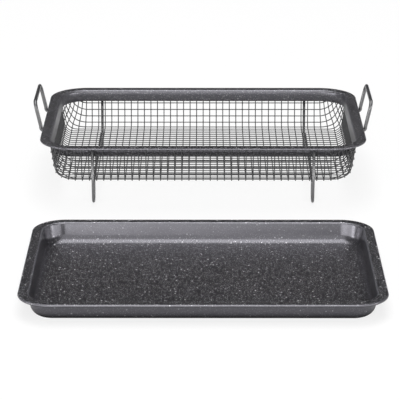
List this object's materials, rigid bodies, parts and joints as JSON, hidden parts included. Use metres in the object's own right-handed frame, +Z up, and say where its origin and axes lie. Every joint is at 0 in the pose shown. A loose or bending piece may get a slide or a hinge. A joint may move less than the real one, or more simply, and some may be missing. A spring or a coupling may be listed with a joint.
{
  "type": "sheet pan with crisper basket",
  "caption": "Shallow rectangular baking pan with curled rim, and a wire mesh crisper basket on bent wire legs with upright end handles, to stand in the pan or by itself.",
  "frame": {"origin": "centre of the pan's underside, at table height", "axes": "+X along the long side, to the right seen from the front; +Y from the pan back towards the basket that stands behind it; +Z up"},
  "size_m": [0.3706, 0.579, 0.096],
  "materials": {
    "pan_coat": "satin charcoal non-stick coat with fine pale specks",
    "rim_coat": "satin charcoal non-stick coat with fine pale specks",
    "mesh_coat": "thin satin charcoal coat on welded wire",
    "wire_coat": "satin charcoal coat with fine pale specks on round wire"
  },
  "bodies": {
    "pan": {"pan_shell": "pan_coat"},
    "basket": {"rim_frame": "rim_coat", "mesh_basket": "mesh_coat", "left_handle": "wire_coat", "right_handle": "wire_coat", "left_leg_frame": "wire_coat", "right_leg_frame": "wire_coat"}
  },
  "joints": [
    {"name": "basket_lift", "type": "slide", "parent": "pan", "child": "basket", "axis": [0, 0, 1], "range_m": [0, 0.07]}
  ]
}
